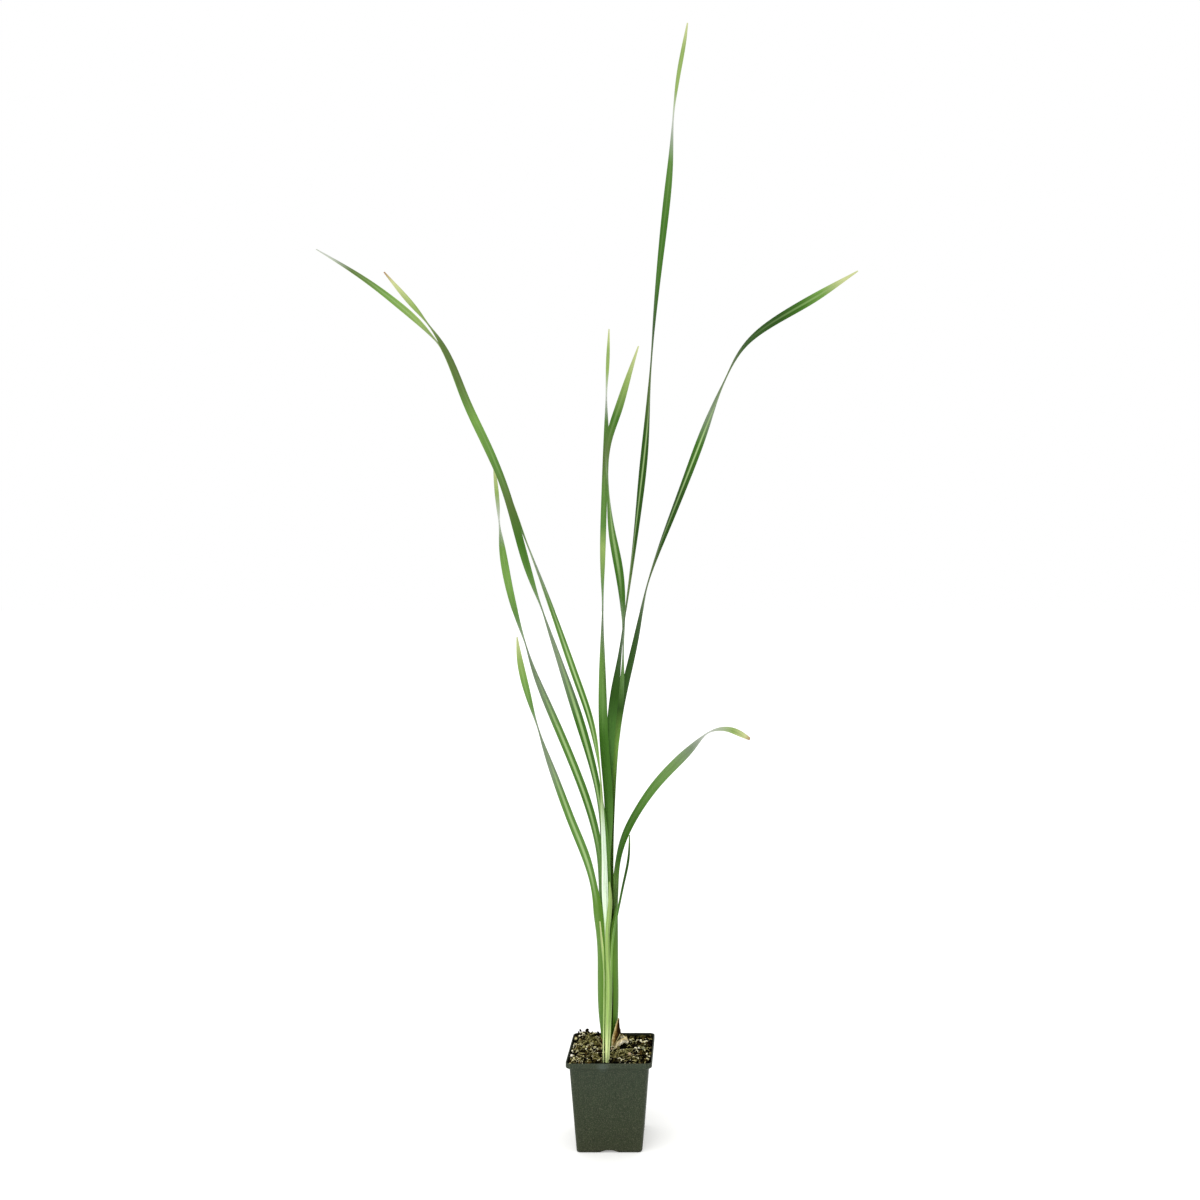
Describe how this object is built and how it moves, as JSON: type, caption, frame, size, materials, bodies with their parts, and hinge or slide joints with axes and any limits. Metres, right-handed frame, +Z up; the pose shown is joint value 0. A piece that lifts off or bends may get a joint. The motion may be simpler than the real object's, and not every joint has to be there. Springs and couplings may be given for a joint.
{
  "type": "potted cattail",
  "caption": "Young cattail with long upright twisting strap leaves, growing in a small square nursery pot filled with gritty potting mix.",
  "frame": {"origin": "middle of the pot's flat base, where it stands", "axes": "+Z up along the leaves, -Y towards the front of the pot, where the light green shoot stands, +X to the right"},
  "size_m": [0.602, 0.1319, 1.2022],
  "materials": {
    "pot_plastic": "dark green, satin, finely brushed",
    "potting_mix": "moist grit, peat and bark",
    "leaf_green": "fresh leaf, finely ribbed, satin",
    "leaf_light_green": "fresh pale leaf, finely ribbed, satin",
    "dry_leaf_tan": "dry brittle leaf, tan, matt",
    "dry_leaf_brown": "dry brittle leaf, dark brown, matt"
  },
  "bodies": {
    "root": {"pot": "pot_plastic", "potting_mix": "potting_mix", "leaf_left_low": "leaf_green", "leaf_right_low": "leaf_green", "leaf_left_middle": "leaf_green", "leaf_left_high": "leaf_green", "leaf_right_high": "leaf_green", "leaf_centre_right": "leaf_green", "leaf_tallest": "leaf_green", "leaf_centre": "leaf_green", "leaf_left_far": "leaf_light_green", "leaf_thin": "leaf_light_green", "leaf_bud_right": "leaf_light_green", "leaf_bud_left": "leaf_light_green", "dry_sheath_right": "dry_leaf_brown", "dry_sheath_left": "dry_leaf_tan", "dry_leaf_scrap": "dry_leaf_tan"}
  },
  "joints": []
}
